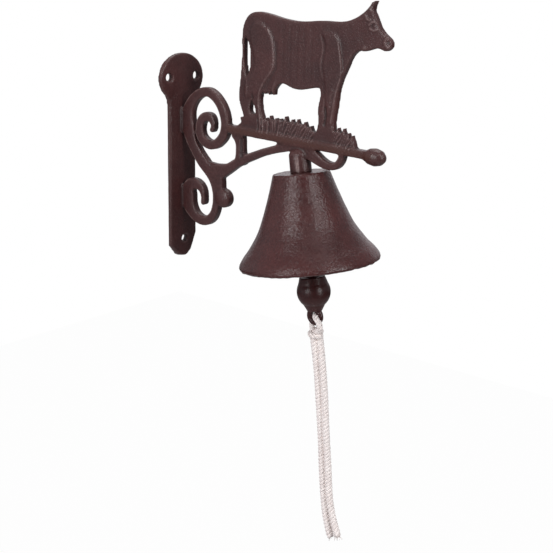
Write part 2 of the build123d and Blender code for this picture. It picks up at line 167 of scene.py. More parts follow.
def rgb(red, green, blue):
    """A colour given in screen values from 0 to 255, as the shader's linear values."""
    linear = []
    for value in (red, green, blue):
        share = value / 255
        linear.append(share / 12.92 if share <= 0.04045 else ((share + 0.055) / 1.055) ** 2.4)
    return (*linear, 1.0)


# Materials

# Colours, in screen values from 0 to 255
PAINT_DARK = (61, 35, 35)
PAINT_LIGHT = (77, 43, 42)
# Worn paint on the grain's crests, also laid on edges as wear with painted highlight
PAINT_WORN_AND_HIGHLIGHT = (100, 78, 75)
# Pits in the sand grain, and the colour of painted shade in hollows
PAINT_PIT_AND_SHADE = (33, 20, 20)
RUST = (80, 45, 32)
# Light colour of the painted highlights on ridges, blade crests and corners
HIGHLIGHT_COLOUR = (158, 136, 133)
STEEL_DARK = (120, 118, 114)
STEEL_LIGHT = (176, 174, 168)
COTTON_SHADE = (238, 229, 225)
COTTON_LIGHT = (252, 248, 245)
COTTON_FIBRE = (218, 206, 202)
# Colour of the painted shade in the hollows between yarns
COTTON_HOLLOW_SHADE = (166, 144, 139)

# Grains in a metre
LUMP_SCALE = 210.0
PATCH_SCALE = 40.0
STAIN_SCALE = 380.0
FIBRE_SCALE = 2600.0
YARN_SHADE_SCALE = 160.0

# Depths of relief in millimetres
STEEL_DEPTH = 0.05
FIBRE_DEPTH = 0.12


def painted_iron(name, grain_scale, grain_depth, sheen_roughness, shade=(1.0, 1.0, 1.0), gloss=0.5):
    """Semi-gloss dark red-brown paint over sand-cast iron, with painted shade and painted highlights that
    the mesh holds. Shade is a share of red, green and blue.
    """
    material, paint = shaded(name)

    def tinted(colour):
        return rgb(*(value * part for value, part in zip(colour, shade)))

    sand = paint.noise(grain_scale, detail=2.0, roughness=0.6).contrasted(gain=2.4)
    lumps = paint.noise(LUMP_SCALE, detail=3.0, roughness=0.5)
    patches = paint.noise(PATCH_SCALE, detail=4.0, roughness=0.6).contrasted(gain=2.6)
    hollow_shade = paint.stored("hollow_shade")
    # Coats over the dark paint, each with how much it covers: tone patches, pits and worn crests of the
    # grain, edge wear with painted highlight, painted shade in hollows, warm rust, and painted highlights
    # on ridges and corners
    coats = [
        (patches, PAINT_LIGHT),
        ((0.5 - sand).clamped() * 0.7, PAINT_PIT_AND_SHADE),
        ((sand - 0.6).clamped() * 0.5, PAINT_WORN_AND_HIGHLIGHT),
        (paint.stored("edge_wear_and_highlight") * 0.3, PAINT_WORN_AND_HIGHLIGHT),
        (hollow_shade * 0.6, PAINT_PIT_AND_SHADE),
        (paint.stored("warm") * 0.5, RUST),
        (paint.stored("painted_highlight") * 0.7, HIGHLIGHT_COLOUR),
    ]
    brown = tinted(PAINT_DARK)
    for cover, colour in coats:
        brown = paint.mix(cover, brown, tinted(colour))
    paint.surface(
        Base_Color=brown,
        Roughness=sheen_roughness + (lumps - 0.5) * 0.14 + hollow_shade * 0.12,
        Specular_IOR_Level=gloss,
        Normal=paint.bump(sand * 0.7 + lumps * 0.6, grain_depth),
    )
    return material


def plated_steel(name):
    """Zinc-plated steel of the bolt, its nut and washer, and the link."""
    material, paint = shaded(name)
    stain = paint.noise(STAIN_SCALE, detail=4.0, roughness=0.6)
    paint.surface(
        Base_Color=paint.mix(stain, rgb(*STEEL_DARK), rgb(*STEEL_LIGHT)),
        Roughness=0.28 + stain * 0.2,
        Metallic=1.0,
        Normal=paint.bump(stain, STEEL_DEPTH, strength=0.5),
    )
    return material


def cotton(name):
    """White cotton yarn with fine fibres and a little grey painted shade in its hollows."""
    material, paint = shaded(name)
    fibres = paint.noise(FIBRE_SCALE, detail=3.0, roughness=0.6)
    shade = paint.noise(YARN_SHADE_SCALE, detail=2.0, roughness=0.5).contrasted(gain=1.6, middle=0.4)
    white = paint.mix(shade, rgb(*COTTON_SHADE), rgb(*COTTON_LIGHT))
    white = paint.mix(fibres * 0.25, white, rgb(*COTTON_FIBRE))
    white = paint.mix(paint.stored("hollow_shade") * 0.95, white, rgb(*COTTON_HOLLOW_SHADE))
    paint.surface(Base_Color=white, Roughness=0.92, Normal=paint.bump(fibres, FIBRE_DEPTH, strength=0.9))
    return material


# Mesh helpers

# Vertices of a CAD mesh that lie nearer than this are one
WELD_DISTANCE = 0.002

# Rounds of averaging that give a vertex's surroundings, and that blur how far it stands out
SURROUNDING_ROUNDS = 3
BLUR_ROUNDS = 2


def mesh_of(name, vertices, faces):
    """A mesh from points in metres."""
    mesh = bpy.data.meshes.new(name)
    mesh.from_pydata([tuple(v) for v in vertices], [], faces)
    mesh.update()
    return mesh


def in_scene(name, data):
    """A new object of the scene."""
    made = bpy.data.objects.new(name, data)
    bpy.context.scene.collection.objects.link(made)
    return made


def add_piece(name, mesh, material, body):
    """A piece of the part, made of a finished mesh."""
    mesh.name = name
    mesh.shade_smooth()
    mesh.materials.clear()
    mesh.materials.append(material)
    piece = in_scene(name, mesh)
    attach(piece, body)
    return piece


def rows_of(items, name, width, kind=float):
    """One value of each vertex or edge, a row for each."""
    found = np.zeros(len(items) * width, kind)
    items.foreach_get(name, found)
    return found.reshape(-1, width)


def coordinates(mesh):
    """Vertex places of a mesh in millimetres."""
    return rows_of(mesh.vertices, "co", 3) / MM


def set_coordinates(mesh, places):
    mesh.vertices.foreach_set("co", (places * MM).astype(np.float32).ravel())
    mesh.update()


def normals(mesh):
    return rows_of(mesh.vertices, "normal", 3, np.float32).astype(float)


def edges_of(mesh):
    """The two vertices of each edge."""
    return rows_of(mesh.edges, "vertices", 2, np.int32)


def neighbour_mean(values, pairs):
    """Mean over each vertex's neighbours."""
    count = len(values)
    total = np.zeros(values.shape)
    np.add.at(total, pairs[:, 0], values[pairs[:, 1]])
    np.add.at(total, pairs[:, 1], values[pairs[:, 0]])
    degree = np.bincount(pairs.ravel(), minlength=count).astype(float)
    degree[degree == 0] = 1
    return total / (degree[:, None] if values.ndim > 1 else degree)


def smooth(mesh, rounds, share, back=0.0):
    """Smooths a mesh. A step back of nearly the same share keeps its corners from shrinking."""
    places = coordinates(mesh)
    pairs = edges_of(mesh)
    for _ in range(rounds):
        for step in (share, -back):
            if step:
                places += (neighbour_mean(places, pairs) - places) * step
    set_coordinates(mesh, places)


def store(mesh, name, values):
    """Keeps a number from 0 to 1 at each vertex for the material."""
    layer = mesh.attributes.new(name, "FLOAT", "POINT")
    layer.data.foreach_set("value", np.clip(values, 0, 1).astype(np.float32))


def mark_edges(mesh, gain=9.0, hollow_shade=0.0):
    """Stores how far each vertex stands out of its surroundings, as edge wear with painted highlight, and
    how far it lies back, as painted shade added to the given painted shade.
    """
    places = coordinates(mesh)
    pairs = edges_of(mesh)
    around = places
    for _ in range(SURROUNDING_ROUNDS):
        around = neighbour_mean(around, pairs)
    out = ((places - around) * normals(mesh)).sum(axis=1)
    for _ in range(BLUR_ROUNDS):
        out = neighbour_mean(out, pairs)
    store(mesh, "edge_wear_and_highlight", out * gain / 2)
    store(mesh, "hollow_shade", hollow_shade - out * gain)


def recast(node, voxel, rounds):
    """A fine even mesh of a CAD node, with its corners a little softened."""
    shell = bmesh.new()
    shell.from_mesh(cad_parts[node].data)
    bmesh.ops.remove_doubles(shell, verts=shell.verts, dist=WELD_DISTANCE * MM)
    mesh = bpy.data.meshes.new(node + "_rough")
    shell.to_mesh(mesh)
    shell.free()
    mesh.materials.clear()
    rough = in_scene(node + "_rough", mesh)
    remesh = rough.modifiers.new("even", "REMESH")
    remesh.mode = "VOXEL"
    remesh.voxel_size = voxel * MM
    bpy.context.view_layer.update()
    evaluated = rough.evaluated_get(bpy.context.evaluated_depsgraph_get())
    even = bpy.data.meshes.new_from_object(evaluated)
    bpy.data.objects.remove(rough)
    bpy.data.meshes.remove(mesh)
    smooth(even, rounds, share=0.5, back=0.45)
    return even


# Form helpers

def smoothstep(low, high, values):
    """A smooth rise from 0 at low to 1 at high. With low above high it falls as the values grow."""
    share = np.clip((values - low) / (high - low), 0, 1)
    return share * share * (3 - 2 * share)


def window(values, start, full, fade, end):
    """1 from full to fade, and 0 before start and after end."""
    return smoothstep(start, full, values) * smoothstep(end, fade, values)


def fading(distance, width):
    """1 at no distance, and next to nothing two widths away."""
    return np.exp(-((distance / width) ** 2))


def line_distance(x, z, points):
    """Distance in the bracket's plane from each place to a broken line."""
    nearest = np.full(x.shape, 1e9)
    for (x0, z0), (x1, z1) in zip(points, points[1:]):
        run = (x1 - x0) ** 2 + (z1 - z0) ** 2
        along = np.clip(((x - x0) * (x1 - x0) + (z - z0) * (z1 - z0)) / run, 0, 1)
        nearest = np.minimum(nearest, np.hypot(x - x0 - along * (x1 - x0), z - z0 - along * (z1 - z0)))
    return nearest


def stroke(x, z, points, width):
    """A line's strength at each place, 1 on the line and fading across its width."""
    return fading(line_distance(x, z, points), width)


def ring(x, z, centre, radius, width):
    """A ring's strength at each place. With a radius of 0 it is a dot."""
    return fading(np.hypot(x - centre[0], z - centre[1]) - radius, width)


def rounded_edge(inset, radius):
    """How far a face falls back where its edge is rounded over, from the distance to the edge."""
    near = np.clip(radius - inset, 0, radius)
    return radius - np.sqrt(radius**2 - near**2)


def dome(inset, width):
    """1 at a face's edge, and 0 from a width inside it."""
    return (1 - np.clip(inset / width, 0, 1)) ** 2


def waviness(places, scale, seed):
    """Smooth noise at each place, from -1 to 1, for lumps of about scale millimetres."""
    shift = Vector((seed * 17.3, seed * 5.1, seed * 9.7))
    return np.array([noise.noise(Vector(p) / scale + shift) for p in places])


def cast_skin(places, layers):
    """Height of a sand-cast skin at each place, from its layers of (lump size, seed, height)."""
    return sum(waviness(places, size, seed) * height for size, seed, height in layers)


def smooth_line(points, steps):
    """Points on a smooth curve through the given ones, with this many steps to each run."""
    knots = [np.array(p, float) for p in points]
    knots = [2 * knots[0] - knots[1]] + knots + [2 * knots[-1] - knots[-2]]
    line = []
    for a, b, c, d in zip(knots, knots[1:], knots[2:], knots[3:]):
        for step in range(steps):
            t = step / steps
            bend = (2 * a - 5 * b + 4 * c - d) * t**2 + (3 * b - a - 3 * c + d) * t**3
            line.append(0.5 * (2 * b + (c - a) * t + bend))
    line.append(knots[-2])
    return line


def hanging_frame(lean):
    """Directions of a line that leans out from the wall: outward, across, and up the line."""
    angle = math.radians(lean)
    out = Vector((math.cos(angle), 0, math.sin(angle)))
    up = Vector((-math.sin(angle), 0, math.cos(angle)))
    return out, Vector((0, 1, 0)), up


# Bracket casting. Its places are (X, Z) in the bracket's plane.

BRACKET_VOXEL = 0.62
BRACKET_SKIN = [(5.0, 1, 0.09), (1.9, 2, 0.03)]

# Y part of a normal: it grows through the first two onto a flat face, and a wall's is under the third
FACE_TURN = (0.55, 0.9)
OUTLINE_TURN = 0.45

# Regions of the bracket, each from where it begins to where it is whole, with how its foot slopes
# from a starting X
ARM_START = (6.5, 8.0)
OUTLINE_START = 6.0
SCROLL_REACH = (57, 52)
SCROLL_TOP = (-33.5, -35.5)
COW_REACH = (50, 54)
COW_FOOT = (-24.5, -22.0)
COW_FOOT_RISE = 0.01
RELIEF_FOOT = (-27.5, -25.5)
GRASS_FOOT = (-30.4, -28.2)
GRASS_FOOT_FALL = 0.0324
FOOT_START = 60

# Raised lines on the cow, with their height
COW_RIDGES = [
    (
        [(78.9, 35.5), (83.1, 26.9), (83.5, 12.3), (75.8, 1.2), (72.1, -7.2), (73.3, -21.6), (75.6, -25.7)],
        0.36,
    ),
    ([(119.9, 33.5), (122.0, 26.0), (120.6, 16.4), (122.7, 8.5)], 0.24),
    ([(133.7, 29.9), (135.3, 22.1), (136.2, 12.2), (132.4, -0.2), (131.1, -7.1), (129.5, -18.0)], 0.36),
    ([(143.2, 22.7), (137.9, 11.7)], 0.28),
    ([(62.0, 3.0), (62.6, -3.0), (62.0, -8.0)], 0.28),
    ([(124.2, -4.0), (124.0, -8.0), (122.9, -13.0)], 0.25),
    ([(86.0, 4.5), (84.5, 1.0), (83.5, -2.0)], 0.22),
]
RIDGE_STEPS = 5
RIDGE_WIDTH = 0.6
# Painted highlight along each raised line, as a share of its height, and the width of such highlights
RIDGE_HIGHLIGHT = 1.3
HIGHLIGHT_WIDTH = 0.42

# Grooves on the cow, with their width and depth, and painted shade in them as strong as they are deep
COW_GROOVES = [
    ([(125.4, -9.0), (125.6, -14.0), (125.0, -19.0)], 0.9, 0.7),
    ([(66.8, -6.0), (67.4, -9.0)], 0.8, 0.5),
    ([(85.9, 27.0), (86.3, 12.3), (78.6, -1.0)], 1.2, 0.2),
]

# Raised strokes round the eye and in the ears
FACE_STROKES = [
    [(154.9, 41.2), (156.6, 42.8), (159.4, 42.9), (161.8, 41.3)],
    [(155.6, 39.2), (158.0, 38.3), (160.8, 39.0)],
    [(151.6, 47.0), (153.4, 44.4), (155.6, 43.8)],
    [(154.4, 50.6), (156.9, 48.8), (159.4, 48.4)],
]
STROKE_STEPS = 4
STROKE_RISE = 0.4
# Strength of the painted highlight along the strokes
STROKE_HIGHLIGHT = 0.7

# Dots and rings on the cow's head, as (centre, radius, width, strength): rises, painted highlights and
# painted shade
EYE = (158.5, 40.5)
NOSTRIL = (169.0, 32.1)
NOSTRIL_RADIUS = 3.0
CHEEK = (151.9, 28.2)
HEAD_RISES = [
    (EYE, 0.0, 1.1, 0.35),
    (NOSTRIL, NOSTRIL_RADIUS, 0.7, 0.45),
    (NOSTRIL, 0.0, 1.4, -0.5),
    (CHEEK, 0.0, 1.2, 0.4),
]
# Painted highlights on the nostril's ring and the cheek
HEAD_HIGHLIGHTS = [
    (NOSTRIL, NOSTRIL_RADIUS, HIGHLIGHT_WIDTH, 0.6),
    (CHEEK, 0.0, 0.8, 0.5),
]
# Painted shade round the eye and in the nostril
HEAD_SHADE_SPOTS = [
    (EYE, 1.5, 0.6, 0.4),
    (NOSTRIL, 0.0, 1.3, 1.0),
]

# Faint ribs on the flank, and the window of places that they fill
FLANK_REACH = (86, 90, 115, 120)
FLANK_HEIGHTS = (3, 8, 34, 42)
FLANK_RIB_RISE = 0.12

# Horn and muzzle, drawn out again from where they start
HORN_HEIGHTS = (50, 58)
HORN_OUT = 0.6
HORN_UP = 1.1
MUZZLE_REACH = (168, 176)
MUZZLE_HEIGHTS = (20, 24)
MUZZLE_OUT = 0.9

# Teats along the udder, drawn down, and the gaps between them, drawn up
UDDER_REACH = (74, 76, 85.5, 87)
UDDER_HEIGHTS = (-8.5, -6.5, -4.4, -2.4)
TEATS = (84.2, 80.8, 77.4)
TEAT_WIDTH = 0.8
TEAT_DOWN = 0.6
TEAT_GAPS = (82.4, 79.1, 75.9)
TEAT_GAP_WIDTH = 0.7
TEAT_GAP_UP = 1.1

# Openings beside the tail and the hock, whose walls move in
TAIL_GAP = [(61.8, 27.0), (62.4, 16.0), (61.2, 7.0)]
TAIL_GAP_CLOSING = 0.45
HOCK_GAP = [(66.4, -11.0), (67.2, -17.0)]
HOCK_GAP_CLOSING = 1.0
GAP_WIDTH = 3.5

# Points of the grass blades, drawn up, and the heights below the belly where that comes in
BLADE_TIPS = [
    (77.6, -20.5), (81.4, -18.6), (86.0, -20.0), (89.4, -19.8), (93.8, -17.7), (99.1, -19.4),
    (103.6, -18.8), (109.3, -19.4), (113.9, -21.6), (134.6, -20.8), (138.8, -20.8), (142.2, -22.7),
    (145.0, -24.5), (146.4, -27.4),
]
BLADE_WIDTH = 0.9
BLADE_ROOT = 3.5
BLADE_POINT = 1.0
BLADE_UP = 1.0
BELLY_HEIGHTS = (0, -6)

# Top edge of the grass in two stretches, each with the pitch of its ribs, and how the ribs lean and wander
GRASS_LINES = [
    ([(70.0, -22.0), (84.0, -20.8), (100.0, -20.8), (109.0, -21.2), (117.0, -24.8)], 2.1),
    ([(131.0, -22.4), (139.6, -23.0), (144.6, -26.8), (147.2, -32.0)], 1.9),
]
GRASS_TOP_FADE = (3.5, 0.5)
GRASS_RISE = 0.5
GRASS_ROOT = -26
GRASS_SLANT = -0.5
GRASS_SLANT_REACH = (80, 105)
GRASS_WANDER = 0.5

# Bar, bud, strut and the ends of the two coils
BAR = [(48.0, -30.3), (160.0, -34.1)]
BAR_RUST_WIDTH = 2.4
BUD = (41.7, -77.5)
BUD_RADIUS = 6.3
BUD_SWELL = 1.6
STRUT_HOLLOW = [(58.6, -36.0), (58.3, -41.0), (58.6, -46.0)]
STRUT_WIDTH = 1.3
STRUT_DEPTH = 0.9
COIL_ENDS = [(31.5, -32.6), (23.5, -83.0)]
COIL_SWELL = 0.22
COIL_END_RADII = (3.6, 1.6)

# Painted shade at the joint between the stem and the bell's crown, as heights above the crown and radii
JOINT_HEIGHTS = (2.2, 0.9)
JOINT_RADII = (11, 8)

# Rounded edges of the scrolls and the cow, with a slight dome inside them
EDGE_RADIUS = 0.7
EDGE_DEPTH = 0.7
SCROLL_DOME_WIDTH = 3.0
SCROLL_DOME_DEPTH = 0.1
COW_DOME_WIDTH = 1.6
COW_DOME_DEPTH = 0.15

# Painted highlight along the scrolls' corners that face the wall
CORNER_INSET = 0.45
CORNER_WIDTH = 0.45

# Strength of the painted shade in each hollow, and of the painted highlights on the blades and the corners
BLADE_SHADE = 0.8
STRUT_SHADE = 2.0
JOINT_SHADE = 1.6
BLADE_CREST = 0.15
BLADE_HIGHLIGHT = 1.8
CORNER_HIGHLIGHT = 1.5

# Patchy unevenness of the painted highlights: its mean, its spread and the size of its patches
PATCHINESS_MEAN = 0.65
PATCHINESS_SPREAD = 0.6
PATCHINESS_SIZE = 2.2

# Screw holes, as (Y, Z), with the width and strength of the painted shade round them
SHADED_HOLES = [
    ((-11.5, -0.5), 3.0, 0.6),
    ((14.6, 0.6), 3.4, 1.6),
    ((1.6, -111.9), 2.8, 0.8),
]


def cow_relief(x, z):
    """Height added to the cow's faces in millimetres, and where painted highlights and painted shade go."""
    height = np.zeros(x.shape)
    painted_highlight = np.zeros(x.shape)
    hollow_shade = np.zeros(x.shape)
    lines = [(smooth_line(points, RIDGE_STEPS), rise, rise * RIDGE_HIGHLIGHT) for points, rise in COW_RIDGES]
    lines += [(smooth_line(points, STROKE_STEPS), STROKE_RISE, STROKE_HIGHLIGHT) for points in FACE_STROKES]
    for line, rise, rubbing in lines:
        height += stroke(x, z, line, RIDGE_WIDTH) * rise
        painted_highlight = np.maximum(painted_highlight, stroke(x, z, line, HIGHLIGHT_WIDTH) * rubbing)
    for points, width, depth in COW_GROOVES:
        groove = stroke(x, z, points, width) * depth
        height -= groove
        hollow_shade += groove
    ribs = np.sin(x * 1.15 + 0.7 * np.sin(z * 0.11)) * 0.5 + np.sin(x * 2.3 + 1.1) * 0.25
    height += ribs * window(x, *FLANK_REACH) * window(z, *FLANK_HEIGHTS) * FLANK_RIB_RISE
    for centre, radius, width, rise in HEAD_RISES:
        height += ring(x, z, centre, radius, width) * rise
    for centre, radius, width, strength in HEAD_HIGHLIGHTS:
        painted_highlight = np.maximum(painted_highlight, ring(x, z, centre, radius, width) * strength)
    for centre, radius, width, strength in HEAD_SHADE_SPOTS:
        hollow_shade += ring(x, z, centre, radius, width) * strength
    return height, painted_highlight, hollow_shade


def grass_relief(x, z):
    """Fine ribs below the grass's edge, upright at the wall side and leaning further out."""
    height = np.zeros(x.shape)
    above_bar = smoothstep(*GRASS_FOOT, z + (x - FOOT_START) * GRASS_FOOT_FALL)
    slant = GRASS_SLANT * smoothstep(*GRASS_SLANT_REACH, x)
    for line, pitch in GRASS_LINES:
        xs, zs = zip(*line)
        top = np.interp(x, xs, zs)
        inside = window(x, xs[0] - 1, xs[0] + 3, xs[-1] - 1, xs[-1] + 1)
        inside *= above_bar * smoothstep(*GRASS_TOP_FADE, z - top)
        phase = (x + slant * (z - GRASS_ROOT) + GRASS_WANDER * np.sin(x * 0.9)) * 2 * math.pi / pitch
        height += inside * (0.5 - np.abs(np.sin(phase / 2)))
    return height


def sharpen(places):
    """Draws out what an even mesh rounds off: horn, muzzle, teats and blades. Swells the coil ends."""
    x, _, z = places.T
    horn = smoothstep(*HORN_HEIGHTS, z)
    muzzle = smoothstep(*MUZZLE_REACH, x) * smoothstep(*MUZZLE_HEIGHTS, z)
    udder = window(x, *UDDER_REACH) * window(z, *UDDER_HEIGHTS)
    below_belly = smoothstep(*BELLY_HEIGHTS, z)
    rise = horn * HORN_UP
    for gap in TEAT_GAPS:
        rise += udder * fading(x - gap, TEAT_GAP_WIDTH) * TEAT_GAP_UP
    for teat in TEATS:
        rise -= udder * fading(x - teat, TEAT_WIDTH) * TEAT_DOWN
    for tip_x, tip_z in BLADE_TIPS:
        near_tip = fading(x - tip_x, BLADE_WIDTH) * smoothstep(tip_z - BLADE_ROOT, tip_z - BLADE_POINT, z)
        rise += near_tip * below_belly * BLADE_UP
    places[:, 0] += horn * HORN_OUT + muzzle * MUZZLE_OUT
    places[:, 2] += rise
    for centre in COIL_ENDS:
        offset = places[:, [0, 2]] - np.array(centre)
        near = smoothstep(*COIL_END_RADII, np.hypot(*offset.T))
        places[:, [0, 2]] += offset * near[:, None] * COIL_SWELL


def from_outline(x, z, facing, flat):
    """How far each flat vertex lies inside the bracket's outline, and how much that edge faces the wall."""
    outline = np.nonzero((np.abs(facing[:, 1]) < OUTLINE_TURN) & (x > OUTLINE_START))[0]
    tree = kdtree.KDTree(len(outline))
    for i, index in enumerate(outline):
        tree.insert(Vector((x[index], 0, z[index])), i)
    tree.balance()
    inset = np.zeros(len(x))
    toward_wall = np.zeros(len(x))
    for index in np.nonzero(flat)[0]:
        _, nearest, inset[index] = tree.find(Vector((x[index], 0, z[index])))
        toward_wall[index] = max(0.0, -facing[outline[nearest], 0])
    return inset, toward_wall


def bracket_casting(material):
    """The bracket with rounded edges, the cow's and the grass's relief, a sand-cast skin, painted shade and
    painted highlights.
    """
    mesh = recast("bracket", BRACKET_VOXEL, rounds=2)
    places = coordinates(mesh)
    facing = normals(mesh)
    sharpen(places)
    # These are views of places, so they follow each change to it
    x, y, z = places.T
    side = np.sign(y)

    # Where a vertex lies: on a flat face, on the arm and not the plate, on the scrolls or the cow
    face = smoothstep(*FACE_TURN, np.abs(facing[:, 1]))
    arm = smoothstep(*ARM_START, x)
    inset, toward_wall = from_outline(x, z, facing, (face > 0.05) & (arm > 0))
    scroll = arm * face * np.maximum(smoothstep(*SCROLL_REACH, x), smoothstep(*SCROLL_TOP, z))
    above_foot = smoothstep(*COW_FOOT, z - (x - FOOT_START) * COW_FOOT_RISE)
    cow = arm * face * above_foot * smoothstep(*COW_REACH, x)

    # Edges rounded over, the bud swollen, and the gaps at tail and hock narrowed
    rounding = rounded_edge(inset, EDGE_RADIUS) * EDGE_DEPTH
    places[:, 1] -= side * scroll * (dome(inset, SCROLL_DOME_WIDTH) * SCROLL_DOME_DEPTH + rounding)
    places[:, 1] -= side * cow * (dome(inset, COW_DOME_WIDTH) * COW_DOME_DEPTH + rounding)
    bulge = np.clip(1 - (np.hypot(x - BUD[0], z - BUD[1]) / BUD_RADIUS) ** 2, 0, 1)
    places[:, 1] += side * face * bulge * BUD_SWELL
    closing = stroke(x, z, TAIL_GAP, GAP_WIDTH) * TAIL_GAP_CLOSING
    closing += stroke(x, z, HOCK_GAP, GAP_WIDTH) * HOCK_GAP_CLOSING
    places += facing * (arm * (1 - face) * closing)[:, None]

    # Relief on both faces
    on_cow = face * arm * smoothstep(*RELIEF_FOOT, z)
    relief, painted_highlight, hollow_shade = cow_relief(x, z)
    blades = grass_relief(x, z) * face * arm
    sunk = stroke(x, z, STRUT_HOLLOW, STRUT_WIDTH) * face
    from_crown = places - np.array(CROWN_CENTRE)
    from_axis = np.hypot(from_crown[:, 0], y)
    joint = smoothstep(*JOINT_HEIGHTS, from_crown[:, 2]) * smoothstep(*JOINT_RADII, from_axis)
    places[:, 1] += side * (relief * on_cow + blades * GRASS_RISE - sunk * STRUT_DEPTH)

    # Sand-cast skin, and how patchy the painted highlights are
    highlight_patchiness = PATCHINESS_MEAN + waviness(places, PATCHINESS_SIZE, seed=8) * PATCHINESS_SPREAD
    places += facing * cast_skin(places, BRACKET_SKIN)[:, None]
    set_coordinates(mesh, places)
    smooth(mesh, rounds=1, share=0.2)

    # Painted shade in the hollows, round the screw holes and at the stem's foot; painted highlights on
    # ridges, blade crests and corners; warm rust on the bar
    painted_shade = np.zeros(len(places))
    for hole, width, strength in SHADED_HOLES:
        painted_shade += ring(y, z, hole, 0.0, width) * (1 - arm) * strength
    painted_shade += np.clip(-blades, 0, 1) * BLADE_SHADE + sunk * STRUT_SHADE + joint * JOINT_SHADE
    corner = fading(inset - CORNER_INSET, CORNER_WIDTH) * toward_wall * scroll
    bright_blades = np.clip(blades - BLADE_CREST, 0, 1) * BLADE_HIGHLIGHT
    mark_edges(mesh, hollow_shade=hollow_shade * on_cow + painted_shade)
    store(mesh, "painted_highlight", painted_highlight * on_cow * highlight_patchiness + bright_blades + corner * highlight_patchiness * CORNER_HIGHLIGHT)
    store(mesh, "warm", stroke(x, z, BAR, BAR_RUST_WIDTH) * face * arm)
    piece = add_piece("bracket_casting", mesh, material, "frame")
    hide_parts("bracket")


# Bell. Its profile is (radius, distance below the crown).

BELL_SIDES = 300
BELL_BORE = 2.8
CROWN_THICKNESS = 4.0
BELL_SHOULDER = [(16.9, 0.0), (17.7, 0.2), (18.16, 0.8)]
BELL_OUTSIDE = [
    (18.16, 0.8), (20.1, 7.0), (24.5, 20.1), (29.25, 32.1), (32.4, 38.2),
    (37.7, 46.1), (42.1, 51.2), (44.6, 55.1), (45.1, 57.0),
]
BELL_LIP = [(45.1, 57.0), (44.6, 58.1), (43.4, 58.7), (42.3, 58.3), (41.6, 57.5)]
BELL_INSIDE = [
    (41.6, 57.5), (39.6, 53.6), (34.6, 47.8), (29.4, 40.2), (26.0, 33.0),
    (21.4, 21.0), (17.3, 8.2), (15.2, 4.0),
]
OUTER_CROWN_POINTS = 14
INNER_CROWN_POINTS = 8

# Its skin, and what the lip and the crown add to it over these distances below the crown
BELL_SKIN = [(7.0, 3, 0.14), (2.2, 4, 0.06)]
LIP_SKIN = [(3.4, 5, 0.35)]
LIP_DROPS = (54.5, 58.0)
CROWN_SKIN = [(3.0, 9, 0.3)]
CROWN_DROPS = (1.5, 0.5)


def bell_profile():
    """Points round the bell's wall, from the bore over the outside and the lip back to the bore."""
    outer_crown = np.linspace(BELL_BORE, BELL_SHOULDER[0][0], OUTER_CROWN_POINTS)
    profile = [np.array((r, 0.0)) for r in outer_crown]
    for curve, steps in ((BELL_SHOULDER, 4), (BELL_OUTSIDE, 12), (BELL_LIP, 3), (BELL_INSIDE, 7)):
        profile += smooth_line(curve, steps)[1:]
    inner_crown = np.linspace(BELL_INSIDE[-1][0], BELL_BORE, INNER_CROWN_POINTS)[1:]
    return profile + [np.array((r, CROWN_THICKNESS)) for r in inner_crown]


def bell_casting(material):
    """The bell: its profile turned about its leaning axis, with a lumpy skin and an uneven lip."""
    out, across, up = hanging_frame(BELL_LEAN)
    profile = bell_profile()
    rows = len(profile)
    vertices = []
    faces = []
    for i in range(BELL_SIDES):
        angle = 2 * math.pi * i / BELL_SIDES
        sideways = out * math.cos(angle) + across * math.sin(angle)
        for radius, drop in profile:
            vertices.append((CROWN_CENTRE + sideways * radius - up * drop) * MM)
        j = (i + 1) % BELL_SIDES
        for k in range(rows):
            m = (k + 1) % rows
            faces.append((i * rows + k, j * rows + k, j * rows + m, i * rows + m))
    mesh = mesh_of("bell_casting", vertices, faces)
    shell = bmesh.new()
    shell.from_mesh(mesh)
    bmesh.ops.recalc_face_normals(shell, faces=shell.faces)
    shell.to_mesh(mesh)
    shell.free()
    places = coordinates(mesh)
    drop = -(places - np.array(CROWN_CENTRE)) @ np.array(up)
    lip = smoothstep(*LIP_DROPS, drop) * cast_skin(places, LIP_SKIN)
    crown = smoothstep(*CROWN_DROPS, drop) * cast_skin(places, CROWN_SKIN)
    places += normals(mesh) * (cast_skin(places, BELL_SKIN) + lip + crown)[:, None]
    set_coordinates(mesh, places)
    # Edge wear with painted highlight on its rims, and painted shade in its hollows
    mark_edges(mesh, gain=5.0)
    piece = add_piece("bell_casting", mesh, material, "frame")
    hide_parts("bell")


# Clapper

CLAPPER_VOXEL = 0.36
CLAPPER_SKIN = [(4.0, 6, 0.12), (1.5, 7, 0.05)]


def clapper_forging(material):
    """The clapper with a lumpy skin."""
    mesh = recast("clapper", CLAPPER_VOXEL, rounds=3)
    places = coordinates(mesh)
    places += normals(mesh) * cast_skin(places, CLAPPER_SKIN)[:, None]
    set_coordinates(mesh, places)
    # Edge wear with painted highlight on its edges, and painted shade in its hollows
    mark_edges(mesh)
    piece = add_piece("clapper_forging", mesh, material, "clapper")
    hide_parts("clapper")


# Cotton cord

CORD_DIAMETER = 4.0
YARNS = 3
YARN_SIDES = 10
YARN_SPACING = 0.55
YARN_SHARE = 0.5
YARN_SWELL = 0.05
ROUTE_SPACING = 1.0

# Directions well off the cord's own, from which the frames round a yarn and a cord begin
TUBE_REFERENCE = (0.3, 1.0, 0.2)
CORD_REFERENCE = (0.2, 1.0, 0.1)

# A yarn's surface takes painted shade from this share of the cord's radius inward, and full painted shade
# at the next
HOLLOW_START = 0.8
HOLLOW_END = 0.4

